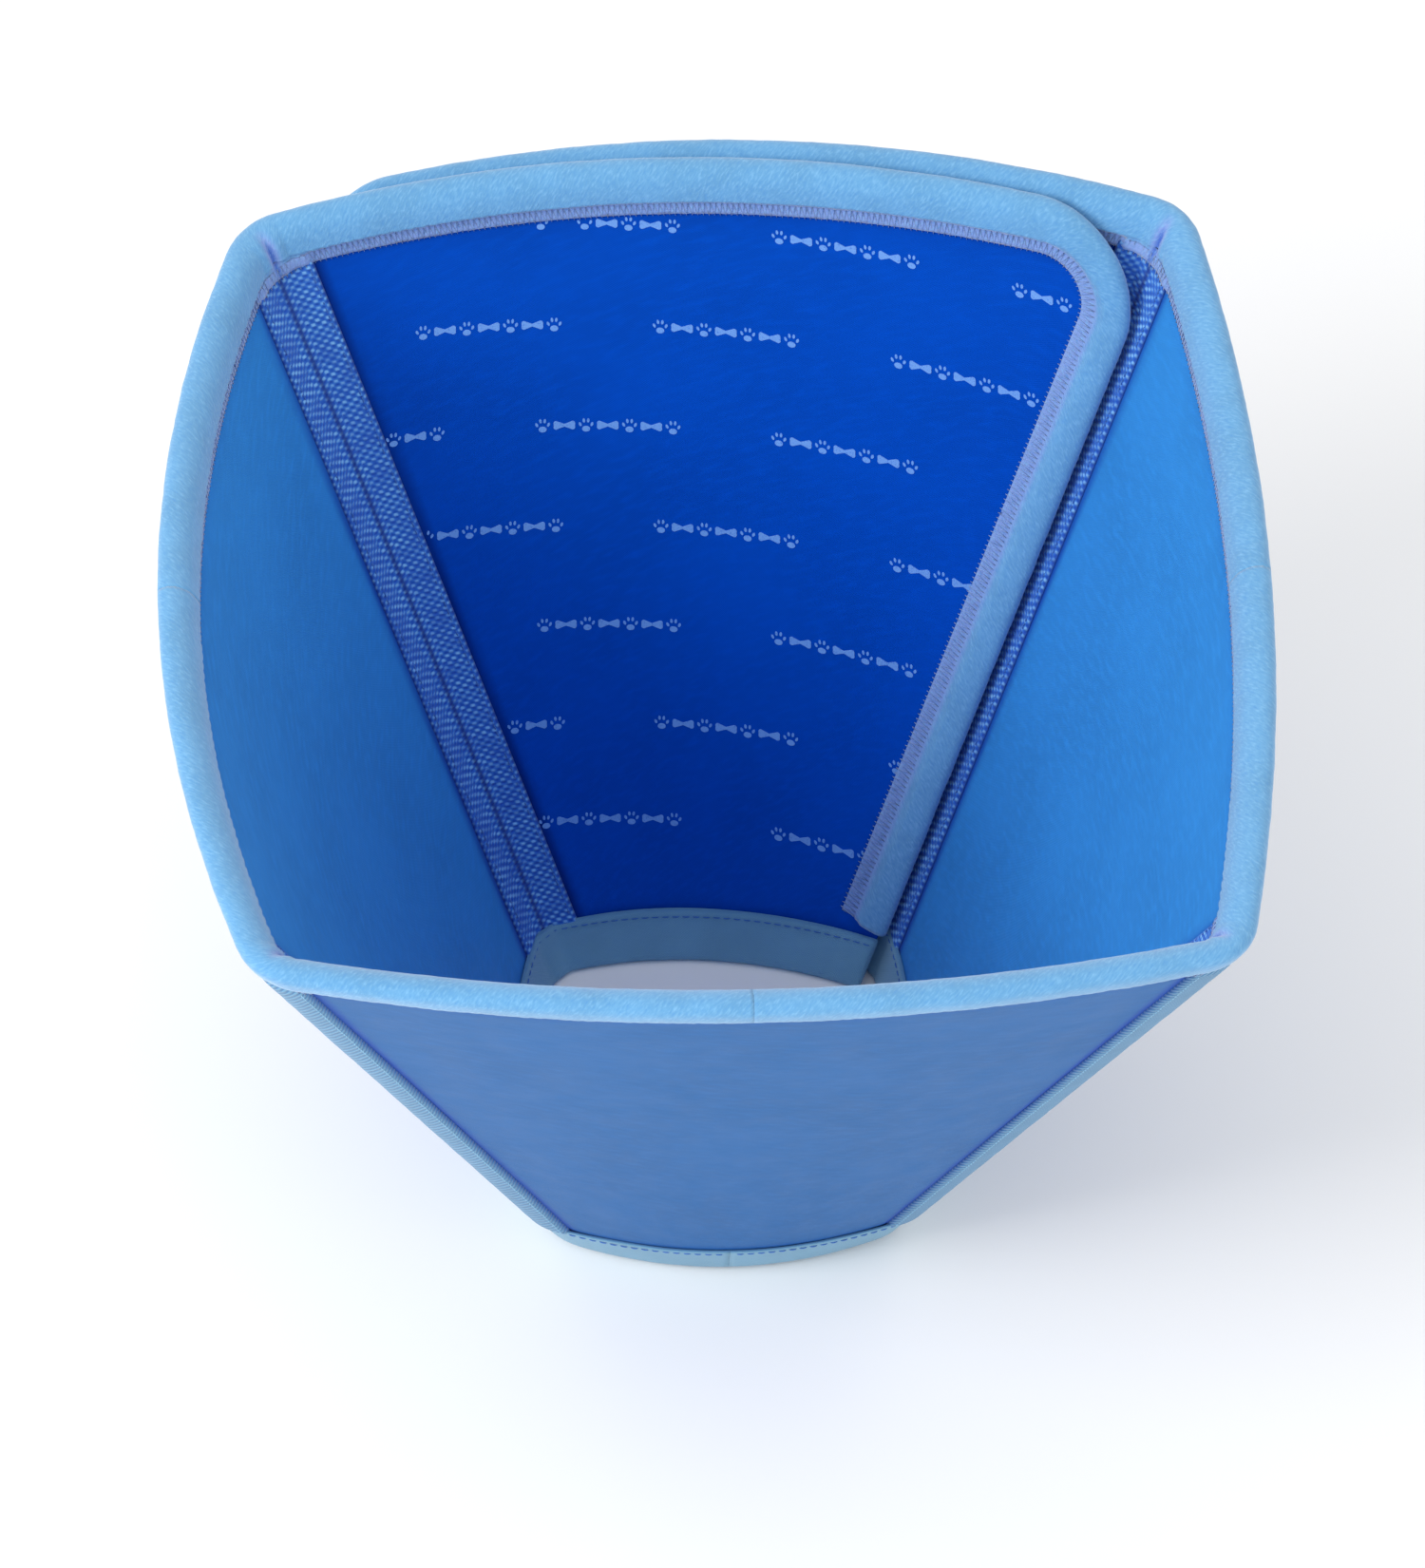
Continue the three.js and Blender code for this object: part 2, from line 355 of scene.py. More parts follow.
def resample(points, count):
    """Points evenly spaced along an open line."""
    points = np.asarray(points, float)
    lengths = lengths_along(points)
    at = np.linspace(0, lengths[-1], count)
    return np.stack([np.interp(at, lengths, column) for column in points.T], axis=1)


def unit(vectors):
    return vectors / np.maximum(np.linalg.norm(vectors, axis=-1, keepdims=True), 1e-9)


def grid_normals(grid, centre):
    """Unit normals of a grid of points, pointing away from a centre or from each ring's middle."""
    normals = unit(np.cross(np.gradient(grid, axis=1), np.gradient(grid, axis=0)))
    away = np.sum(normals * (grid - centre))
    return normals if away > 0 else -normals


def lumps(grid, size, offset=0.0):
    """Smooth noise from about -1 to 1 at each point, with bumps of about this size."""
    flat = grid.reshape(-1, 3) / size + offset
    values = [noise.noise(Vector(point)) for point in flat]
    return np.array(values).reshape(grid.shape[:-1])


def grid_uv(grid, start=0.0):
    """Lengths along and across a grid in metres, so that a weave keeps its size on the cloth."""
    u = start + lengths_along(grid.mean(axis=1))
    across = np.linalg.norm(np.diff(grid, axis=1), axis=2).mean(axis=0)
    v = np.concatenate([[0], np.cumsum(across)])
    return np.stack(np.broadcast_arrays(u[:, None], v[None, :]), axis=-1) * MM


def facing_out(points, faces):
    """Turns every face over if together they enclose a negative volume."""
    a, b, c, d = (points[faces[:, i]] for i in range(4))
    volume = np.sum(a * np.cross(b, c)) + np.sum(a * np.cross(c, d))
    return faces if volume > 0 else faces[:, ::-1]


def solid_object(name, points, faces, material):
    """A smooth mesh object from points in millimetres."""
    mesh = bpy.data.meshes.new(name)
    mesh.from_pydata((points * MM + ORIGIN).tolist(), [], faces)
    mesh.polygons.foreach_set("use_smooth", [True] * len(mesh.polygons))
    mesh.materials.append(material)
    mesh.update()
    made = bpy.data.objects.new(name, mesh)
    bpy.context.scene.collection.objects.link(made)
    return made


def cloth_object(name, points, faces, material, uv, shade, flat_faces):
    """A mesh object with coordinates for a weave. Its last flat_faces faces aren't smoothed."""
    made = solid_object(name, points, faces.tolist(), material)
    mesh = made.data
    mesh.polygons.foreach_set("use_smooth", np.arange(len(faces)) < len(faces) - flat_faces)
    corners = np.zeros(len(mesh.loops), np.int32)
    mesh.loops.foreach_get("vertex_index", corners)
    layer = mesh.uv_layers.new(name="cloth")
    layer.data.foreach_set("uv", uv[corners].ravel().astype(np.float32))
    if shade is not None:
        attribute = mesh.attributes.new("shade", "FLOAT", "POINT")
        attribute.data.foreach_set("value", shade.astype(np.float32))
    return made


def grid_faces(rows, columns, first=0):
    """Quads of a grid whose points are numbered row by row."""
    row, column = np.meshgrid(np.arange(rows - 1), np.arange(columns - 1), indexing="ij")
    low = (first + row * columns + column).ravel()
    return np.stack([low, low + 1, low + columns + 1, low + columns], axis=1)


def strip_faces(one, other):
    """Quads between two lines of point numbers."""
    return np.stack([one[:-1], one[1:], other[1:], other[:-1]], axis=1)


def shell(name, front, back, material, shade=None, start=0.0):
    """A closed body between two grids of the same size, its weave starting at a length along it."""
    rows, columns = front.shape[:2]
    count = rows * columns
    number = np.arange(count).reshape(rows, columns)
    other = number + count
    faces = np.concatenate(
        [
            grid_faces(rows, columns),
            grid_faces(rows, columns, count)[:, ::-1],
            strip_faces(other[0], number[0]),
            strip_faces(number[-1], other[-1]),
            strip_faces(number[:, 0], other[:, 0]),
            strip_faces(other[:, -1], number[:, -1]),
        ]
    )
    points = np.concatenate([front.reshape(-1, 3), back.reshape(-1, 3)])
    uv = np.concatenate([grid_uv(front, start).reshape(-1, 2)] * 2)
    shades = None if shade is None else np.concatenate([shade.ravel()] * 2)
    edge_faces = 2 * (rows + columns - 2)
    return cloth_object(name, points, facing_out(points, faces), material, uv, shades, edge_faces)


def thread_along(name, path, normals, material):
    """A thread along a path, lying on a surface with these normals."""
    tangent = unit(np.gradient(path, axis=0))
    sideways = unit(np.cross(tangent, normals))
    upward = np.cross(sideways, tangent)
    angle = np.arange(THREAD_SIDES) * 2 * math.pi / THREAD_SIDES
    ring = np.cos(angle)[None, :, None] * sideways[:, None] + np.sin(angle)[None, :, None] * upward[:, None]
    points = (path[:, None] + THREAD_RADIUS * ring).reshape(-1, 3)
    number = np.arange(len(points)).reshape(len(path), THREAD_SIDES)
    around = np.roll(number, -1, axis=1)
    quads = [number[:-1].ravel(), around[:-1].ravel(), around[1:].ravel(), number[1:].ravel()]
    faces = np.stack(quads, axis=1).tolist()
    ends = [number[0][::-1].tolist(), number[-1].tolist()]
    return solid_object(name, points, faces + ends, material)


def stitch_template(length, radius):
    """One stitch as points (along, sideways, up) and quads: an arched grain of thread."""
    points = []
    for along, thick, lift in STITCH_RINGS:
        for i in range(STITCH_SIDES):
            angle = 2 * math.pi * i / STITCH_SIDES
            sideways = radius * thick * math.cos(angle)
            points.append((length * along, sideways, radius * (lift + thick * math.sin(angle))))
    faces = []
    for ring in range(len(STITCH_RINGS) - 1):
        for i in range(STITCH_SIDES):
            j = (i + 1) % STITCH_SIDES
            low = ring * STITCH_SIDES
            faces.append((low + i, low + STITCH_SIDES + i, low + STITCH_SIDES + j, low + j))
    first = list(range(STITCH_SIDES))
    last = [(len(STITCH_RINGS) - 1) * STITCH_SIDES + i for i in first]
    return np.array(points), faces, [first, last[::-1]]


def stitches(name, places, directions, normals, length, radius, material):
    """A stitch at each place."""
    template, quads, ends = stitch_template(length, radius)
    sideways = np.cross(normals, directions)
    axes = np.stack([directions, sideways, normals], axis=1)
    points = places[:, None] + np.einsum("pk,ski->spi", template, axes)
    faces = []
    for i in range(len(places)):
        first = i * len(template)
        faces += [[first + corner for corner in face] for face in quads]
        faces += [[first + corner for corner in face] for face in ends]
    return solid_object(name, points.reshape(-1, 3), faces, material)


def spaced_along(rows, pitch):
    """Rows of points resampled together along their length, about pitch apart."""
    lengths = lengths_along(rows.mean(axis=1))
    at = np.linspace(0, lengths[-1], max(2, round(lengths[-1] / pitch) + 1))
    flat = rows.reshape(len(rows), -1)
    spaced = np.stack([np.interp(at, lengths, column) for column in flat.T], axis=1)
    return spaced.reshape(len(at), *rows.shape[1:])


# ---------------------------------------------------------------------------------------------
# Materials.


def srgb(red, green, blue):
    """A shader colour from 0 to 255 sRGB values."""
    channels = [c / 255 for c in (red, green, blue)]
    linear = [c / 12.92 if c <= 0.04045 else ((c + 0.055) / 1.055) ** 2.4 for c in channels]
    return (*linear, 1.0)


class Cloth:
    """A cloth material: a Principled shader with helpers that add procedural detail to it."""

    def __init__(self, name, colour, roughness, sheen=0.0, specular=0.2):
        self.material = bpy.data.materials.new(name)
        self.material.use_nodes = True
        self.material.diffuse_color = colour
        self.tree = self.material.node_tree
        self.shader = self.tree.nodes["Principled BSDF"]
        self.set(self.shader, {"Base Color": colour, "Roughness": roughness})
        self.set(self.shader, {"Sheen Weight": sheen, "Sheen Roughness": 0.5})
        self.set(self.shader, {"Specular IOR Level": specular})
        self.colour = colour
        self.normal = None

    def feed(self, socket, value):
        """Links another node's socket to this one, or gives it a fixed value."""
        if isinstance(value, bpy.types.NodeSocket):
            self.tree.links.new(value, socket)
        else:
            socket.default_value = value

    def set(self, node, inputs):
        for key, value in inputs.items():
            self.feed(node.inputs[key], value)

    def node(self, kind, inputs, **settings):
        made = self.tree.nodes.new(kind)
        for key, value in settings.items():
            setattr(made, key, value)
        self.set(made, inputs)
        return made

    def math(self, operation, first, second=0.0):
        return self.node("ShaderNodeMath", {0: first, 1: second}, operation=operation).outputs[0]

    def coordinates(self, turn=0.0, scale=(1.0, 1.0, 1.0)):
        """The cloth's own coordinates in millimetres, turned and stretched."""
        uv = self.node("ShaderNodeUVMap", {}, uv_map="cloth").outputs[0]
        in_mm = tuple(value / MM for value in scale)
        turned_uv = self.node("ShaderNodeVectorRotate", {"Vector": uv, "Angle": turn}, rotation_type="Z_AXIS")
        inputs = {0: turned_uv.outputs[0], 1: in_mm}
        return self.node("ShaderNodeVectorMath", inputs, operation="MULTIPLY").outputs[0]

    def noise(self, size, turn=0.0, stretch=1.0, detail=2.0):
        """Noise from 0 to 1 with features of about size mm, stretched along one direction."""
        vector = self.coordinates(turn, (1 / (size * stretch), 1 / size, 1 / size))
        inputs = {"Vector": vector, "Scale": 1.0, "Detail": detail}
        return self.node("ShaderNodeTexNoise", inputs).outputs["Fac"]

    def wave(self, pitch, turn=0.0):
        """A sine from 0 to 1 across the cloth, with this pitch in mm."""
        vector = self.coordinates(turn, (2 * math.pi / pitch, 0.0, 0.0))
        across = self.node("ShaderNodeSeparateXYZ", {0: vector}).outputs[0]
        return self.math("MULTIPLY", self.math("ADD", self.math("SINE", across), 1.0), 0.5)

    def weave(self, pitch_along, pitch_across):
        """Yarns that pass over and under each other, from 0 to 1."""
        first = self.wave(pitch_along)
        second = self.wave(pitch_across, math.pi / 2)
        over = self.math("MULTIPLY", first, second)
        under = self.math("MULTIPLY", self.math("SUBTRACT", 1.0, first), self.math("SUBTRACT", 1.0, second))
        return self.math("ADD", over, under)

    def grain(self, scale, detail):
        """Noise from 0 to 1 through the whole body, with about this many features in a metre."""
        coordinates = self.node("ShaderNodeTexCoord", {}).outputs["Object"]
        inputs = {"Vector": coordinates, "Scale": scale, "Detail": detail}
        return self.node("ShaderNodeTexNoise", inputs).outputs["Fac"]

    def tint(self, factor, colour, low=0.0, high=1.0):
        """Mixes another colour in as the factor rises from low to high."""
        ramp = self.node("ShaderNodeMapRange", {"Value": factor, "From Min": low, "From Max": high})
        mix = self.node("ShaderNodeMix", {}, data_type="RGBA")
        sockets = {socket.identifier: socket for socket in mix.inputs}
        self.feed(sockets["Factor_Float"], ramp.outputs[0])
        self.feed(sockets["A_Color"], self.colour)
        self.feed(sockets["B_Color"], colour)
        self.colour = next(out for out in mix.outputs if out.identifier == "Result_Color")
        self.feed(self.shader.inputs["Base Color"], self.colour)
        return self

    def shade(self):
        """The mesh's shade attribute: where painted shade goes, and on the fleece also its overlocked edge
        band.
        """
        return self.node("ShaderNodeAttribute", {}, attribute_name="shade").outputs["Fac"]

    def bump(self, height, distance, strength=1.0):
        """Adds relief of this distance in mm."""
        inputs = {"Height": height, "Distance": distance * MM, "Strength": strength}
        if self.normal is not None:
            inputs["Normal"] = self.normal
        self.normal = self.node("ShaderNodeBump", inputs).outputs[0]
        self.feed(self.shader.inputs["Normal"], self.normal)
        return self

    def vary_roughness(self, factor, low, high):
        inputs = {"Value": factor, "To Min": low, "To Max": high}
        self.feed(self.shader.inputs["Roughness"], self.node("ShaderNodeMapRange", inputs).outputs[0])
        return self


def darker(colour, share):
    return (*(channel * share for channel in colour[:3]), 1.0)


def smooth_cloth(name, colour, painted_shade_colour, sheen, specular):
    """Closely woven coated cloth, with painted shade in the groove beside a crease tape and where it goes in
    under a binding.
    """
    cloth = Cloth(name, colour, 0.5, sheen=sheen, specular=specular)
    cloth.tint(cloth.noise(38.0), darker(colour, 0.86), 0.35, 0.75)
    cloth.tint(cloth.noise(2.2, 0.4, 3.0), darker(colour, 1.12), 0.45, 0.8)
    weave = cloth.weave(0.7, 0.7)
    cloth.tint(weave, darker(colour, 0.93), 0.55, 1.0)
    # Painted shade in the grooves beside the crease tapes and where the cloth goes in under the bindings.
    cloth.tint(cloth.shade(), painted_shade_colour, 0.0, 1.0)
    cloth.vary_roughness(cloth.noise(14.0), 0.42, 0.6)
    cloth.bump(weave, 0.05)
    cloth.bump(cloth.noise(9.0), 0.25, 0.6)
    return cloth.material


def fleece():
    """Brushed pile that lies in slanting lines, with an overlocked edge of another colour."""
    colour = srgb(104, 163, 209)
    cloth = Cloth("fleece", colour, 0.95, sheen=0.45, specular=0.1)
    nap = cloth.noise(0.7, -0.9, 3.2, 3.0)
    cloth.tint(cloth.noise(16.0), darker(colour, 0.86), 0.4, 0.8)
    cloth.tint(cloth.shade(), srgb(132, 158, 216), 0.0, 1.0)
    # Shade from 1 to 2 is painted shade in the fold at a crease; up to 1 it marks the overlocked edge's own
    # colour.
    cloth.tint(cloth.shade(), srgb(58, 96, 190), 1.0, 2.0)
    cloth.tint(nap, srgb(128, 183, 224), 0.5, 0.8)
    cloth.tint(nap, srgb(88, 148, 204), 0.48, 0.2)
    cloth.bump(nap, 0.22, 0.7)
    cloth.bump(cloth.noise(0.5), 0.2, 0.7)
    return cloth.material


def knit():
    """Thin smooth knit tape with fine ribs along it."""
    colour = srgb(114, 166, 196)
    cloth = Cloth("knit_tape", colour, 0.75, sheen=0.25, specular=0.25)
    ribs = cloth.weave(0.9, 0.9)
    cloth.tint(cloth.noise(22.0), darker(colour, 0.87), 0.35, 0.75)
    cloth.tint(ribs, darker(colour, 0.85), 0.5, 1.0)
    cloth.tint(cloth.shade(), srgb(60, 112, 166), 0.0, 1.0)
    cloth.bump(ribs, 0.12)
    cloth.bump(cloth.noise(1.4, 0.3, 3.0), 0.15, 0.6)
    return cloth.material


def twill_tape():
    """Narrow tape woven in slanting ribs."""
    colour = srgb(113, 163, 198)
    cloth = Cloth("twill_tape", colour, 0.8, sheen=0.2, specular=0.2)
    twill = cloth.wave(1.5, math.radians(38))
    cloth.tint(cloth.noise(12.0), darker(colour, 0.85), 0.35, 0.75)
    cloth.tint(twill, srgb(76, 124, 170), 0.55, 0.1)
    cloth.tint(cloth.shade(), srgb(40, 96, 165), 0.0, 1.0)
    cloth.bump(twill, 0.3)
    cloth.bump(cloth.noise(0.8), 0.12, 0.6)
    return cloth.material


def webbing_cloth():
    """Coarse webbing: a painted highlight on its yarn crowns over painted deep blue shade in the gaps, in its
    fold and at its edges.
    """
    colour = srgb(50, 116, 206)
    cloth = Cloth("webbing", colour, 0.7, sheen=0.15, specular=0.3)
    weave = cloth.weave(2 * WEBBING_YARN, 2 * WEBBING_RIB)
    # The gaps take painted shade and the crowns a painted highlight.
    cloth.tint(weave, srgb(22, 84, 186), 0.45, 0.05)
    cloth.tint(weave, srgb(130, 190, 240), 0.5, 0.9)
    cloth.tint(cloth.noise(10.0), srgb(36, 92, 190), 0.4, 0.9)
    cloth.tint(cloth.shade(), srgb(6, 42, 128), 0.0, 1.0)
    cloth.bump(weave, 0.35)
    cloth.bump(cloth.noise(0.5), 0.1, 0.6)
    return cloth.material


def thread(name, colour):
    """Twisted sewing thread."""
    made = Cloth(name, colour, 0.6, sheen=0.2, specular=0.3)
    fibres = made.grain(2500.0, 1.0)
    made.tint(fibres, darker(colour, 0.7), 0.45, 0.7)
    made.bump(fibres, 0.06)
    return made.material


def print_ink():
    """Pale ink soaked into the lining's weave."""
    colour = srgb(112, 160, 226)
    ink = Cloth("print_ink", colour, 0.65, specular=0.25)
    grain = ink.grain(1800.0, 2.0)
    ink.tint(grain, srgb(70, 124, 210), 0.55, 0.75)
    ink.bump(grain, 0.03)
    return ink.material


def pile(name, colour, tip):
    """Hook or loop pile, with a paler colour mixed in by noise."""
    cloth = Cloth(name, colour, 0.85, sheen=0.3, specular=0.2)
    grain = cloth.grain(900.0, 2.0)
    cloth.tint(grain, tip, 0.45, 0.75)
    cloth.bump(grain, 0.3)
    return cloth.material


def foam():
    """Closed-cell foam board, seen only at the panels' cut edges."""
    colour = srgb(214, 220, 226)
    cloth = Cloth("foam_board", colour, 0.9, specular=0.1)
    coordinates = cloth.node("ShaderNodeTexCoord", {}).outputs["Object"]
    cells = cloth.node("ShaderNodeTexVoronoi", {"Vector": coordinates, "Scale": 900.0}).outputs["Distance"]
    cloth.tint(cells, srgb(188, 196, 206), 0.2, 0.6)
    cloth.bump(cells, 0.2)
    return cloth.material


# The second colour of each is painted shade for the grooves beside the tapes and the edges under the
# bindings.
COVER = smooth_cloth("cover_cloth", srgb(18, 97, 164), srgb(0, 66, 170), 0.04, 0.2)
LINING = smooth_cloth("lining_cloth", srgb(46, 138, 212), srgb(8, 70, 168), 0.06, 0.15)
# The flaps' lining is the side lining painted deeper and bluer: painted shade and painted blue light bounced
# inside the cone.
SHADED_FLAP_LINING = smooth_cloth("flap_lining_painted_shade", srgb(0, 74, 184), srgb(0, 38, 120), 0.0, 0.05)
FLEECE = fleece()
KNIT = knit()
TWILL = twill_tape()
WEBBING = webbing_cloth()
OVERLOCK_THREAD = thread("overlock_thread", srgb(150, 178, 224))
SEAM_THREAD = thread("seam_thread", srgb(140, 190, 220))
BLUE_THREAD = thread("blue_thread", srgb(58, 112, 190))
INK = print_ink()
HOOK_PILE = pile("hook_pile", srgb(24, 52, 110), srgb(60, 96, 160))
LOOP_PILE = pile("loop_pile", srgb(40, 92, 176), srgb(92, 146, 216))
FOAM = foam()


# ---------------------------------------------------------------------------------------------
# Baking the pieces' transforms into their meshes.


def bend_at(piece):
    """Bakes the piece's placement into its mesh."""
    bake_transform(piece)


# ---------------------------------------------------------------------------------------------
# Panels.


def panel_top(name, inset):
    """Shares across a panel, the height of its top edge at each, and how far its ends are inset."""
    toward = FLAP_TOWARD.get(name)
    if toward is None:
        share = steps_over(2 * half_width(PANEL_TOP), PANEL_SPACING)
        return share, 0 * share + PANEL_TOP, (inset, inset)
    outline = flap_outline(toward, inset, 0.0, PANEL_SPACING)
    on_top = outline[:, 1] > PANEL_TOP - FREE_END_RADIUS * (1 + math.sin(math.atan(TAPER)))
    outline = outline[on_top][::toward]
    insets = (inset, FREE_END_INSET) if toward > 0 else (FREE_END_INSET, inset)
    top = outline[:, 1]
    left = insets[0] - half_width(top)
    share = (outline[:, 0] - left) / (2 * half_width(top) - sum(insets))
    return share, top, insets


def panel_grid(name, inset, depth_at):
    """A panel's surface as a grid: columns from one edge to the other, rows up the slope."""
    share, top, insets = panel_top(name, inset)
    rise = steps_over(SLANT, PANEL_SPACING)[None, :]
    s = PANEL_LOW + rise * (top[:, None] - PANEL_LOW)
    left = insets[0] - half_width(s)
    right = half_width(s) - insets[1]
    x = left + share[:, None] * (right - left)
    return SIDES[name].face(x, s, depth_at(name, x, s)), x, s


def crease_distance(name, x, s):
    """How far a point of a panel is from its nearest crease line."""
    half = half_width(s)
    toward = FLAP_TOWARD.get(name)
    if toward is None:
        return half - np.abs(x)
    return half + toward * x


def cover_depth(name, x, s):
    """The cover swells a little between its bindings and dips into the seam beside a crease."""
    half = half_width(s)
    swell = 0.25 * np.clip(1 - (x / half) ** 2, 0, 1)
    dip = 0.25 * np.exp(-((crease_distance(name, x, s) - SEAM_REACH) / 1.6) ** 2)
    return 0.25 - swell + dip


def lining_depth(name, x, s):
    return STACK - 0.15 + 0 * x * s


def seam_shade(name, x, s, reach):
    """1 in the groove beside a crease tape, fading to 0 away from it."""
    return np.exp(-(np.maximum(crease_distance(name, x, s) - reach, 0) / GROOVE_WIDTH) ** 2)


def edge_shade(s, x):
    """Painted shade where the cloth goes in under a binding."""
    top = np.exp(-np.maximum(PANEL_TOP - FLEECE_REACH - s, 0) / 2.0)
    low = np.exp(-np.maximum(s - PANEL_LOW - KNIT_REACH, 0) / 2.0)
    return 0.35 * np.maximum(top, low) + 0 * x


Layer = namedtuple("Layer", "label replaced inset depth_at thickness reach")
COVER_LAYER = Layer("cover", "_outer_cover", COVER_INSET, cover_depth, CLOTH_THICK, SEAM_REACH)
LINING_LAYER = Layer("lining", "_inner_lining", LINING_INSET, lining_depth, -CLOTH_THICK, WEBBING_REACH)


def add_layer(name, layer, material):
    """A sheet of cloth stretched over the board of one side."""
    front, x, s = panel_grid(name, layer.inset, layer.depth_at)
    back, _, _ = panel_grid(name, layer.inset, lambda *at: layer.depth_at(*at) + layer.thickness)
    shade = np.maximum(seam_shade(name, x, s, layer.reach), edge_shade(s, x))
    piece = shell(f"{name}_{layer.label}_cloth", front, back, material, shade)
    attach(piece, name)
    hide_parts(name + layer.replaced)


def add_panel(name):
    """The cover and the lining of one side."""
    add_layer(name, COVER_LAYER, COVER)
    if name in FLAP_TOWARD:
        # The flaps take the lining painted deeper, as painted shade.
        add_layer(name, LINING_LAYER, SHADED_FLAP_LINING)
    else:
        add_layer(name, LINING_LAYER, LINING)


# ---------------------------------------------------------------------------------------------
# Bindings.


def both_faces(half, count):
    """A binding's section from its outer face's half: points (a, t), t being how far from its middle."""
    middle = STACK / 2
    outer = [(a, middle - t) for a, t in half]
    inner = [(a, middle + t) for a, t in half[::-1][1:]]
    return resample(outer + inner, count)


def fleece_outline():
    """The outside of the rim binding's section, from its outer edge over the rim to its inner edge."""
    middle = STACK / 2
    thick = middle + FLEECE_RISE
    flat = middle + 0.45
    shoulder = thick - FLEECE_RISE
    fall = 3.2
    half = [(FLEECE_REACH, flat - 0.1), (FLEECE_ROLL + 0.3, flat)]
    for angle in np.linspace(0, math.pi / 2, 7):
        half.append((FLEECE_ROLL - fall * (1 - math.cos(angle)), flat + (thick - flat) * math.sin(angle)))
    half.append(((FLEECE_ROLL - fall + shoulder) / 2, thick + 0.1))
    for angle in np.linspace(0, math.pi / 2, 9):
        half.append((shoulder - thick * math.sin(angle), thick * math.cos(angle)))
    return both_faces(half, 41)


def channel_inside(reach, count):
    """The inside of a binding's section, just clear of the panel's edge."""
    gap = 0.22
    return resample([(reach, -gap), (-gap, -gap), (-gap, STACK + gap), (reach, STACK + gap)], count)


def knit_outline():
    """The outside of the neck binding's section."""
    thick = STACK / 2 + 1.1
    edge_round = 2.6
    half = [(KNIT_REACH, thick - 0.35), (KNIT_REACH - 0.8, thick), (4.0, thick)]
    for angle in np.linspace(0, math.pi / 2, 6):
        half.append((edge_round - (edge_round + KNIT_RISE) * math.sin(angle), thick * math.cos(angle)))
    return both_faces(half, 37)


def from_crease(corner_name, grid):
    """How far each point is from the upright plane through a crease."""
    return np.abs(grid @ np.array(CORNERS[corner_name].direction)) / math.sqrt(2)


def lifted_within(corner_name, grid, stop):
    """1 near a crease, falling to 0 at this distance from the upright plane through it."""
    return np.clip((stop - from_crease(corner_name, grid)) / LIFT_SLOPE, 0, 1)


def over_tapes(corner_name, grid):
    """1 where a binding passes over a crease's tape or webbing, fading to 0 beside it.

    The columns of the grid run from the binding's outer edge over the panel to its inner edge.
    """
    inner = np.linspace(0, 1, grid.shape[1]) > 0.5
    return lifted_within(corner_name, grid, np.where(inner, LIFTED_INSIDE, LIFTED_OUTSIDE))


def lift_inside(back, normals, lift):
    """Lifts the inside of a binding at its two long edges by as much as its outside."""
    for edge in (0, -1):
        back[:, edge] += normals[:, edge] * lift[:, [edge]]


def fade_at_ends(rows, count=5):
    """From 0 at a grid's first and last row to 1 a few rows in, so that pieces meet without a step."""
    row = np.arange(rows)
    return np.clip(np.minimum(row, row[::-1]) / count, 0, 1)[:, None]


def lapped(grid):
    """A grid with its first and last rings moved out a little, so that it meets the next piece."""
    made = grid.copy()
    made[0] += BINDING_LAP * unit(grid[0] - grid[1])
    made[-1] += BINDING_LAP * unit(grid[-1] - grid[-2])
    return made


def swollen(grid, held):
    """A grid of points after it has been simulated as cloth under pressure, held where held is 1."""
    scene = bpy.context.scene
    points = grid.reshape(-1, 3)
    piece = solid_object("simulated", points, grid_faces(*grid.shape[:2]).tolist(), FLEECE)
    piece.data.vertices.foreach_set("co", (points * SIM_SCALE).ravel())
    piece.vertex_groups.new(name="held").add(np.flatnonzero(held).tolist(), 1.0, "REPLACE")
    cloth = piece.modifiers.new("cloth", "CLOTH")
    cloth.settings.vertex_group_mass = "held"
    cloth.settings.mass = SIM_MASS
    cloth.settings.quality = 6
    cloth.settings.use_pressure = True
    cloth.settings.uniform_pressure_force = SIM_PRESSURE
    cloth.settings.shrink_min = -SIM_SLACK
    cloth.settings.effector_weights.gravity = 0
    cloth.collision_settings.use_collision = False
    for number in range(1, SIM_FRAMES + 1):
        scene.frame_set(number)
    evaluated = piece.evaluated_get(bpy.context.evaluated_depsgraph_get())
    settled = np.zeros(points.size)
    evaluated.data.vertices.foreach_get("co", settled)
    moved = settled.reshape(grid.shape) / SIM_SCALE - grid
    length = np.linalg.norm(moved, axis=-1, keepdims=True)
    mesh = piece.data
    bpy.data.objects.remove(piece)
    bpy.data.meshes.remove(mesh)
    scene.frame_set(1)
    return grid + moved * np.minimum(1, SIM_MOST / np.maximum(length, 1e-9))


def filled_out(front, normals, reach, edge):
    """The outside of a rim binding after its wadding has pushed it out between the stitches.

    Its ends take the median shape of the rest, so that two bindings meet without a step.
    """
    every_third = np.arange(len(front))[:, None] % 3 == 0
    sewn = (reach > FLEECE_ROLL - 2.6) & every_third
    grown = swollen(front, (sewn | (edge > 0.5)).ravel()) - front
    usual = np.median(np.sum(grown * normals, axis=-1), axis=0)
    inside = fade_at_ends(len(front))[..., None]
    return front + inside * grown + (1 - inside) * usual[:, None] * normals


def fold_inside(corner_name, front, width=1.7):
    """1 in the fold on a rim binding's inner face at its crease, fading to 0 beside it."""
    columns = front.shape[1]
    inner = np.clip((np.arange(columns) / columns - 0.5) * 6, 0, 1)
    return np.exp(-((from_crease(corner_name, front) / width) ** 2)) * inner


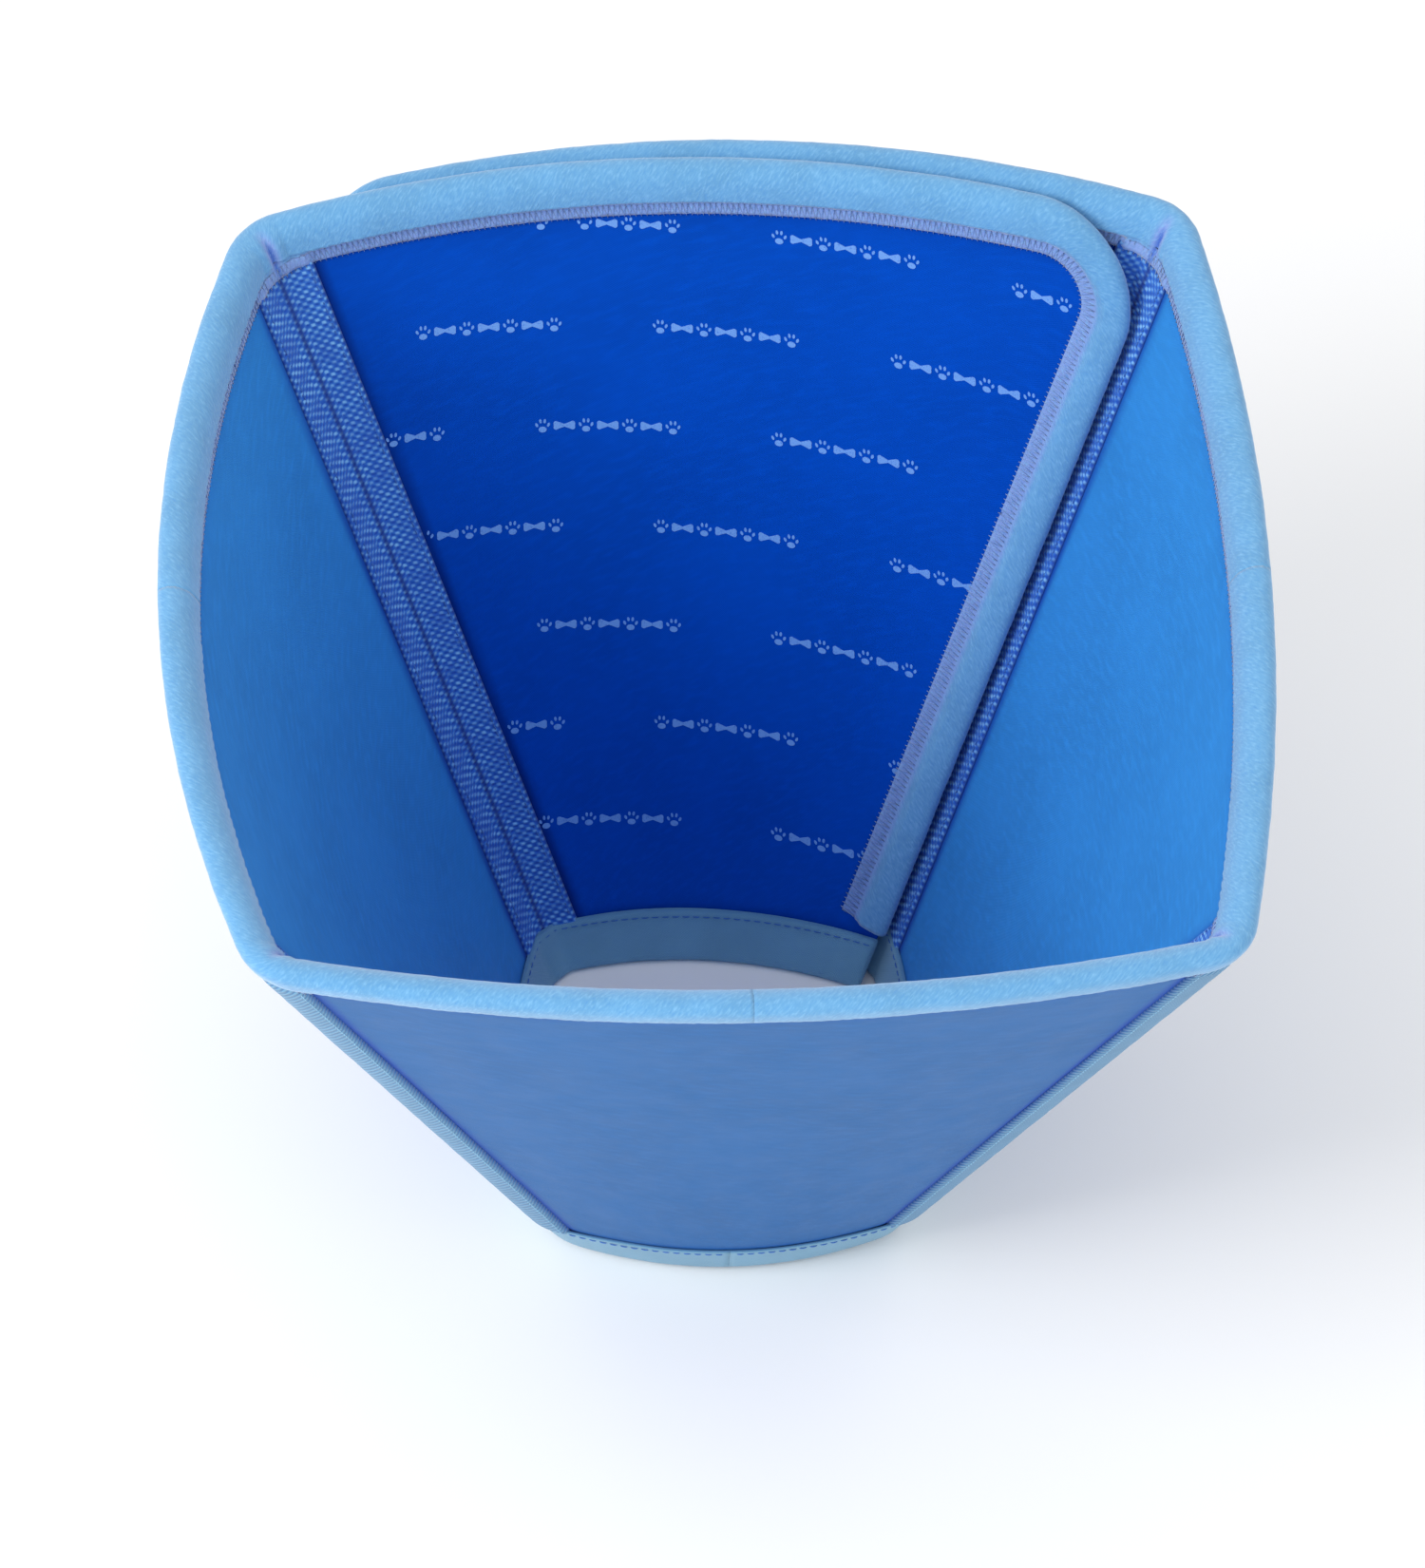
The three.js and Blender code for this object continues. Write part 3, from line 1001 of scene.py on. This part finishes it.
def add_fleece(corner_name, replaced, start):
    """The padded rim binding round one crease. Returns where its weave ends."""
    outline = fleece_outline()
    front = edge_rings(corner_name, RIM, FLEECE_SPACING, outline)
    back = edge_rings(corner_name, RIM, FLEECE_SPACING, channel_inside(FLEECE_REACH, len(outline)))
    normals = grid_normals(front, front.mean(axis=1, keepdims=True))
    edge = np.clip((outline[:, 0] - FLEECE_ROLL + 0.9) / 1.0, 0, 1)
    body = 1 - edge
    front = filled_out(front, normals, outline[:, 0], edge)
    fold = fold_inside(corner_name, front)
    pinch = 1.7 * fold * body
    swell = body * (0.16 * lumps(front, 10.0) + 0.1 * lumps(front, 2.8))
    pucker = edge * 0.15 * lumps(front, 1.6, 5.0)
    lift = edge * TAPE_LIFT * over_tapes(corner_name, front)
    moved = (swell + pucker) * fade_at_ends(len(front)) - pinch + lift
    front = front + normals * moved[..., None]
    front[..., 2] += 0.35 * edge * lumps(front, 2.0, 9.0)
    lift_inside(back, normals, lift)
    # The edge band is the fleece's own overlocked colour; the fold at the crease takes painted shade.
    shade = np.maximum(edge, 2 * fold)
    piece = shell(corner_name + "_fleece_binding", lapped(front), back, FLEECE, shade, start)
    bend_at(piece)
    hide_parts(*replaced)
    return start + grid_length(front)


def add_overlock(corner_name):
    """Overlock threads over both edges of the rim binding round one crease."""
    middle = STACK / 2
    for face_name, sign in (("outer", -1), ("inner", 1)):
        lifted = middle + sign * (middle + 0.62)
        low = middle + sign * (middle + 0.2)
        chain = np.array([(FLEECE_ROLL + 0.1, lifted), (FLEECE_REACH + 0.6, low)])
        rows = edge_rings(corner_name, RIM, FLEECE_SPACING, chain)
        outwards = rows - edge_rings(corner_name, RIM, FLEECE_SPACING, chain - (0, sign))
        over = lifted_within(corner_name, rows, LIFTED_INSIDE)[..., None]
        rows = spaced_along(rows + TAPE_LIFT * over * outwards, 0.9)
        turns = np.arange(len(rows))
        across = rows[:, 1] - rows[:, 0]
        along = np.gradient(rows.mean(axis=1), axis=0)
        path = rows[turns, turns % 2]
        path = path + 0.12 * lumps(path, 2.3)[:, None] * unit(across)
        normals = unit(np.cross(along, across))
        piece = thread_along(f"{corner_name}_{face_name}_overlock", path, normals, OVERLOCK_THREAD)
        bend_at(piece)


def add_knit(corner_name, replaced, start):
    """The smooth neck binding round one crease. Returns where its weave ends."""
    outline = knit_outline()
    front = edge_rings(corner_name, NECK, KNIT_SPACING, outline)
    back = edge_rings(corner_name, NECK, KNIT_SPACING, channel_inside(KNIT_REACH, len(outline)))
    normals = grid_normals(front, front.mean(axis=1, keepdims=True))
    reach = np.clip(outline[:, 0] / KNIT_REACH, 0, 1)
    ripple = 0.16 * lumps(front, 11.0) + 0.05 * lumps(front, 3.0)
    near_edge = np.clip((outline[:, 0] - KNIT_REACH + 5) / 3, 0, 1)
    lift = KNIT_LIFT * over_tapes(corner_name, front) * near_edge
    front = front + normals * (ripple * fade_at_ends(len(front)) + lift)[..., None]
    wander = 0.5 * lumps(front, 24.0, 3.0) * reach**2
    front[..., 2] += wander
    back[..., 2] += wander
    lift_inside(back, normals, lift)
    shade = np.broadcast_to(0.6 * np.clip((outline[:, 0] - KNIT_REACH + 0.9) / 0.9, 0, 1), front.shape[:2])
    piece = shell(corner_name + "_knit_binding", lapped(front), back, KNIT, shade, start)
    bend_at(piece)
    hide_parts(*replaced)
    length = grid_length(front)
    add_neck_stitches(corner_name)
    return start + length


def add_neck_stitches(corner_name):
    """A row of straight stitches along the neck binding, on both faces of the panel."""
    reach = KNIT_REACH - 2.2
    for face_name, sign in (("outer", -1), ("inner", 1)):
        depth = STACK / 2 + sign * (STACK / 2 + 1.3)
        chain = np.array([(reach, depth), (reach + 1, depth)])
        rows = spaced_along(edge_rings(corner_name, NECK, KNIT_SPACING, chain), 3.4)
        along = unit(np.gradient(rows[:, 0], axis=0))
        across = unit(rows[:, 1] - rows[:, 0])
        normals = unit(np.cross(along, across)) * -sign
        name = f"{corner_name}_neck_{face_name}_stitches"
        piece = stitches(name, rows[1:-1, 0], along[1:-1], normals[1:-1], 2.5, 0.24, BLUE_THREAD)
        bend_at(piece)


# ---------------------------------------------------------------------------------------------
# Tapes over the creases.


def crease_grid(corner_name, reach, turn, s, depth, spacing):
    """A grid over a crease: straight on one side, round the corner, straight on the other."""
    corner = CORNERS[corner_name]
    before = SIDES[corner.before]
    after = SIDES[corner.after]
    half = half_width(s)
    legs = turn + (reach - turn) * steps_over(reach - turn, spacing)[:, None]
    first = before.face(half - legs[::-1], s, depth)
    last = after.face(legs - half, s, depth)
    middle = turned(before, after, s, depth, turn, steps_over(1.5 * turn, spacing))
    return join_runs(first, middle, last)


def tape_profile(grid, edge_drop):
    """From 1 in a tape's middle to 0 at its long edges, as a rounded rim."""
    at = lengths_along(grid.mean(axis=1))
    from_edge = np.minimum(at, at[-1] - at)
    return (1 - np.exp(-from_edge / edge_drop))[:, None]


def tape_span():
    """Where the tapes start and end, up the slope."""
    low = PANEL_LOW + KNIT_REACH - TAPE_TUCK
    top = PANEL_TOP - FLEECE_REACH + TAPE_TUCK
    return low, top


def end_tuck(s):
    """1 along a tape, falling at its two ends, where it goes in under the bindings."""
    low, top = tape_span()
    from_end = np.minimum(s - low, top - s)
    return (0.55 + 0.45 * np.clip(from_end / TAPE_TUCK, 0, 1))[None, :]


def add_seam_tape(corner_name):
    """The raised tape outside a crease."""
    low, top = tape_span()
    s = low + steps_over(top - low, 1.2) * (top - low)
    base = crease_grid(corner_name, SEAM_REACH, SEAM_TURN, s, 0 * s - 0.05, 0.8)
    normals = grid_normals(base, np.zeros(3))
    profile = tape_profile(base, 0.7)
    raised = profile * (SEAM_RISE + 0.12 * lumps(base, 8.0)) * end_tuck(s) + 0.1
    front = base + normals * raised[..., None]
    back = base - normals * 0.35
    shade = np.broadcast_to(0.9 * (1 - profile) ** 2, front.shape[:2])
    piece = shell(corner_name + "_crease_tape", front, back, TWILL, shade)
    bend_at(piece)
    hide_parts(corner_name + "_seam_tape")
    add_tape_stitches(corner_name, "crease_tape", front, normals, 2.2, 2.0, 1.5, SEAM_THREAD)


def add_webbing(corner_name):
    """The coarse webbing folded into the inside of a crease."""
    low, top = tape_span()
    s = low + steps_over(top - low, 0.4) * (top - low)
    depth = 0 * s + STACK + 0.1
    base = crease_grid(corner_name, WEBBING_REACH, WEBBING_TURN, s, depth, 1.0)
    normals = -grid_normals(base, np.zeros(3))
    profile = tape_profile(base, 0.5)
    ribs = 0.2 * np.cos(2 * math.pi * s / WEBBING_RIB)[None, :]
    raised = profile * (TAPE_THICK + ribs) * end_tuck(s) + 0.05
    front = base + normals * raised[..., None]
    back = base - normals * 0.1
    fold = np.exp(-((np.abs(np.abs(front[..., 0]) - np.abs(front[..., 1])) / 1.3) ** 2))
    shade = np.maximum(0.85 * fold, 0.7 * (1 - profile) ** 2)
    piece = shell(corner_name + "_webbing", front, back, WEBBING, shade)
    bend_at(piece)
    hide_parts(corner_name + "_crease_webbing")
    add_tape_stitches(corner_name, "webbing", front, normals, 1.8, 3.2, 2.4, BLUE_THREAD)


def add_tape_stitches(corner_name, label, grid, normals, inset, pitch, length, material):
    """Two rows of stitches along a tape, inset from its long edges."""
    row = int(np.searchsorted(np.cumsum(step_lengths(grid.mean(axis=1))), inset)) + 1
    places = []
    directions = []
    upward = []
    for station in (row, len(grid) - 1 - row):
        line = spaced_along(np.stack([grid[station], grid[station] + normals[station]], axis=1), pitch)
        along = unit(np.gradient(line[:, 0], axis=0))
        places.append(line[2:-2, 0])
        directions.append(along[2:-2])
        upward.append(unit(line[:, 1] - line[:, 0])[2:-2])
    lines = [np.concatenate(rows) for rows in (places, directions, upward)]
    piece = stitches(f"{corner_name}_{label}_stitches", *lines, length, 0.23, material)
    bend_at(piece)


# ---------------------------------------------------------------------------------------------
# The print on the inner flap's lining.


def ellipse(x, y, width, height, turn=0.0, count=12):
    """An ellipse as points round it."""
    angle = np.arange(count) * 2 * math.pi / count
    across = width / 2 * np.cos(angle)
    up = height / 2 * np.sin(angle)
    cos = math.cos(turn)
    sin = math.sin(turn)
    return np.stack([x + across * cos - up * sin, y + across * sin + up * cos], axis=1)


def paw(x):
    """A paw mark as outlines: a pad and four toes."""
    toes = ((-1.9, 0.3, 0.5), (-0.7, 1.6, 0.15), (0.7, 1.6, -0.15), (1.9, 0.3, -0.5))
    pad = ellipse(x, -1.3, 2.6, 1.9, count=16)
    return [pad] + [ellipse(x + dx, dy, 0.85, 1.4, turn) for dx, dy, turn in toes]


def bone(x):
    """A bone mark as one outline: a bar with two round knobs at each end."""
    knob = 0.8
    reach = 2.7
    spread = knob * 0.8
    waist = 0.4
    knobs = ((reach, spread, -20), (-reach, spread, 50), (-reach, -spread, 160), (reach, -spread, 230))
    outline = []
    for dx, dy, start in knobs:
        for degrees in np.linspace(start, start + 150, 7):
            angle = math.radians(degrees)
            outline.append((x + dx + knob * math.cos(angle), dy + knob * math.sin(angle)))
    outline.insert(7, (x, waist))
    outline.insert(22, (x, -waist))
    return [np.array(outline)]


def motif():
    """A row of paw and bone marks."""
    outlines = []
    for i, x in enumerate(np.linspace(-21.0, 21.0, 7)):
        outlines += paw(x) if i % 2 == 0 else bone(x)
    return outlines


def mark_places():
    """The middle of each group of marks: how far across the flap and how far up its slope."""
    for row in range(MARK_ROWS):
        for column in range(-3, 4):
            across = (column + 0.5 * (row % 2)) * MARK_STEP_ACROSS + MARK_SHIFT
            yield across, PANEL_TOP - MARK_TOP - row * MARK_STEP_DOWN


def is_hidden(x, s):
    """Whether any of these points is under a binding or a tape, or beyond the cloth."""
    half = half_width(s)
    beyond_sides = (x > half - WEBBING_REACH) | (x < FREE_END_INSET + 12 - half)
    return np.any(beyond_sides | (s < 22) | (s > PANEL_TOP - FLEECE_REACH))


def add_print():
    """Rows of marks printed on the inner flap's lining, every other row shifted by half a step."""
    side = SIDES["inner_flap"]
    points = []
    faces = []
    count = 0
    for across, level in mark_places():
        for outline in motif():
            x = across + outline[:, 0]
            s = level + outline[:, 1] + MARK_TILT * x
            if is_hidden(x, s):
                continue
            ring = len(outline)
            points += [side.face(x, s, STACK + 0.02), side.face(x, s, STACK - 0.35)]
            top = [count + i for i in range(ring)]
            low = [count + ring + i for i in range(ring)]
            faces += [top, low[::-1]]
            faces += [[low[i], low[(i + 1) % ring], top[(i + 1) % ring], top[i]] for i in range(ring)]
            count += 2 * ring
    piece = solid_object("inner_flap_print", np.concatenate(points), faces, INK)
    piece.data.polygons.foreach_set("use_smooth", [False] * len(piece.data.polygons))
    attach(piece, "inner_flap")


# ---------------------------------------------------------------------------------------------
# The fastening between the flaps.


def strip_place(side, middle, width, across, up, depth):
    """A point on a fastening strip, with across and up from 0 to 1 over it."""
    s = middle + (up - 0.5) * STRIP_HEIGHT
    stop = half_width(s) - STRIP_END_INSET
    start = stop - width * half_width(s)
    return side.face(start + across * (stop - start), s, depth)


def add_strip(level, kind, body, width, base_depth, tip_depth, material, replaced):
    """A woven base tape with its pile of hooks or loops."""
    side = SIDES[body]
    middle = STRIP_LEVELS[level] * SLANT
    across = steps_over(100, 2.5)[:, None]
    up = steps_over(STRIP_HEIGHT, 1.3)[None, :]
    low, high = base_depth
    front = strip_place(side, middle, width, across, up, high + 0 * across * up)
    back = strip_place(side, middle, width, across, up, low + 0 * across * up)
    piece = shell(f"{level}_{kind}_tape", front, back, material)
    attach(piece, body)
    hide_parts(replaced)
    bristles = add_pile(level, kind, side, middle, width, high, tip_depth, material)
    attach(bristles, body)


def add_pile(level, kind, side, middle, width, root_depth, tip_depth, material):
    """Short curved bristles in staggered rows over a fastening strip."""
    chooser = random.Random(SEED + len(level))
    length = width * half_width(middle)
    columns = int((length - 2 * PILE_MARGIN) / PILE_PITCH_ACROSS)
    rows = int((STRIP_HEIGHT - 2 * PILE_MARGIN) / PILE_PITCH_UP)
    points = []
    faces = []
    for column in range(columns):
        for row in range(rows):
            shift = PILE_MARGIN + PILE_PITCH_ACROSS * (column + 0.5 * (row % 2))
            across = (shift + chooser.uniform(-PILE_JITTER, PILE_JITTER)) / length
            rise = PILE_MARGIN + PILE_PITCH_UP * row
            up = (rise + chooser.uniform(-PILE_JITTER, PILE_JITTER)) / STRIP_HEIGHT
            bend = chooser.uniform(-PILE_BEND, PILE_BEND) / length
            faces += bristle_faces(len(points))
            for height, lean, radius in PILE_STAGES:
                depth = root_depth + height * (tip_depth - root_depth)
                for i in range(3):
                    angle = 2 * math.pi * i / 3
                    dx = radius * math.cos(angle) / length
                    dy = radius * math.sin(angle) / STRIP_HEIGHT
                    points.append((across + bend * lean + dx, up + dy, depth))
    grid = np.array(points)
    placed = strip_place(side, middle, width, grid[:, 0], grid[:, 1], grid[:, 2])
    return solid_object(f"{level}_{kind}_pile", placed, faces, material)


def bristle_faces(first):
    """The faces of a three-sided bristle of three stages, from its first point's number."""
    faces = []
    for low in (first, first + 3):
        faces += [[low + i, low + (i + 1) % 3, low + 3 + (i + 1) % 3, low + 3 + i] for i in range(3)]
    return faces + [[first + 2, first + 1, first], [first + 6, first + 7, first + 8]]


def add_fastening():
    outside = -AIR
    inside = STACK + AIR
    for level in STRIP_LEVELS:
        add_strip(
            level,
            "hook",
            "outer_flap",
            HOOK_WIDTH,
            (inside, inside + STRIP_BASE),
            inside + PILE_TOP,
            HOOK_PILE,
            level + "_hook_patch",
        )
        add_strip(
            level,
            "loop",
            "inner_flap",
            LOOP_WIDTH,
            (outside, outside - STRIP_BASE),
            outside - PILE_TOP,
            LOOP_PILE,
            level + "_loop_strip",
        )


# ---------------------------------------------------------------------------------------------
# The collar.


def dress_frame_nodes():
    """The core boards keep their own solids."""
    for name in SIDES:
        node = frame["nodes"][name + "_core_board"]
        node.data.materials.clear()
        node.data.materials.append(FOAM)


def add_collar():
    for name in SIDES:
        add_panel(name)
    owned = {
        "far_left": ("inner_flap",),
        "near_left": ("left", "throat"),
        "near_right": ("right",),
        "far_right": ("outer_flap",),
    }
    rim_length = 0.0
    neck_length = 0.0
    for corner_name, sides in owned.items():
        fronts = [side + "_front_binding" for side in sides] + [corner_name + "_front_binding_corner"]
        necks = [side + "_neck_binding" for side in sides] + [corner_name + "_neck_binding_corner"]
        rim_length = add_fleece(corner_name, fronts, rim_length)
        neck_length = add_knit(corner_name, necks, neck_length)
        add_overlock(corner_name)
        add_seam_tape(corner_name)
        add_webbing(corner_name)
    add_print()
    add_fastening()
    dress_frame_nodes()


# ---------------------------------------------------------------------------------------------
# Floor, light and camera.

CAMERA_YAW = math.radians(3.1)
CAMERA_PITCH = math.radians(51.2)
CAMERA_ROLL = math.radians(1.3)
CAMERA_DISTANCE = 3.636
CAMERA_LENS = 262.0
AIM_HEIGHT = 0.1187
AIM_RIGHT = -0.00424
AIM_UP = 0.0282
FLOOR_HALF = 20.0 / MM
FLOOR_GAP = 0.05
WORLD_STRENGTH = 0.92


def add_camera():
    """A long lens that looks down into the cone from in front of the throat side."""
    yaw_cos = math.cos(CAMERA_YAW)
    yaw_sin = math.sin(CAMERA_YAW)
    cos = math.cos(CAMERA_PITCH)
    sin = math.sin(CAMERA_PITCH)
    forward = Vector((yaw_sin * cos, yaw_cos * cos, -sin))
    level_right = Vector((yaw_cos, -yaw_sin, 0))
    level_up = Vector((yaw_sin * sin, yaw_cos * sin, cos))
    right = math.cos(CAMERA_ROLL) * level_right + math.sin(CAMERA_ROLL) * level_up
    up = math.cos(CAMERA_ROLL) * level_up - math.sin(CAMERA_ROLL) * level_right
    aim = Vector(ORIGIN) + Vector((0, 0, AIM_HEIGHT)) + AIM_RIGHT * right + AIM_UP * up
    data = bpy.data.cameras.new("camera")
    data.lens = CAMERA_LENS
    data.sensor_width = 36.0
    camera = bpy.data.objects.new("camera", data)
    axes = Matrix((right, up, -forward)).transposed().to_4x4()
    camera.matrix_world = Matrix.Translation(aim - CAMERA_DISTANCE * forward) @ axes
    bpy.context.scene.collection.objects.link(camera)
    bpy.context.scene.camera = camera


def add_area_light(name, place, size, power):
    """A round soft lamp that faces the cone."""
    data = bpy.data.lights.new(name, "AREA")
    data.shape = "DISK"
    data.size = size
    data.energy = power
    light = bpy.data.objects.new(name, data)
    light.location = place
    towards = Vector((0, 0, 0.15)) - Vector(place)
    light.rotation_euler = towards.to_track_quat("-Z", "Y").to_euler()
    bpy.context.scene.collection.objects.link(light)


def floor_material():
    """A pale floor with a slight drift in its tone."""
    pale = Cloth("pale_floor", srgb(250, 250, 250), 0.9, specular=0.05)
    return pale.tint(pale.grain(3.0, 2.0), srgb(247, 247, 247), 0.3, 0.7).material


def add_studio():
    """A pale floor, a bright world and soft lamps."""
    corners = np.array([(-1, -1, 0), (1, -1, 0), (1, 1, 0), (-1, 1, 0)]) * FLOOR_HALF
    corners[:, 2] = -FLOOR_GAP
    floor = solid_object("floor", corners, [[0, 1, 2, 3]], floor_material())
    scene = bpy.context.scene
    scene.view_settings.view_transform = "Standard"
    world = bpy.data.worlds.new("studio")
    world.use_nodes = True
    background = world.node_tree.nodes["Background"]
    background.inputs["Color"].default_value = (1, 1, 1, 1)
    background.inputs["Strength"].default_value = WORLD_STRENGTH
    scene.world = world
    add_area_light("key", (-1.7, -0.7, 1.5), 1.1, 28.0)
    add_area_light("fill", (0.5, -1.9, 0.9), 1.4, 6.0)


add_studio()
add_camera()
add_collar()
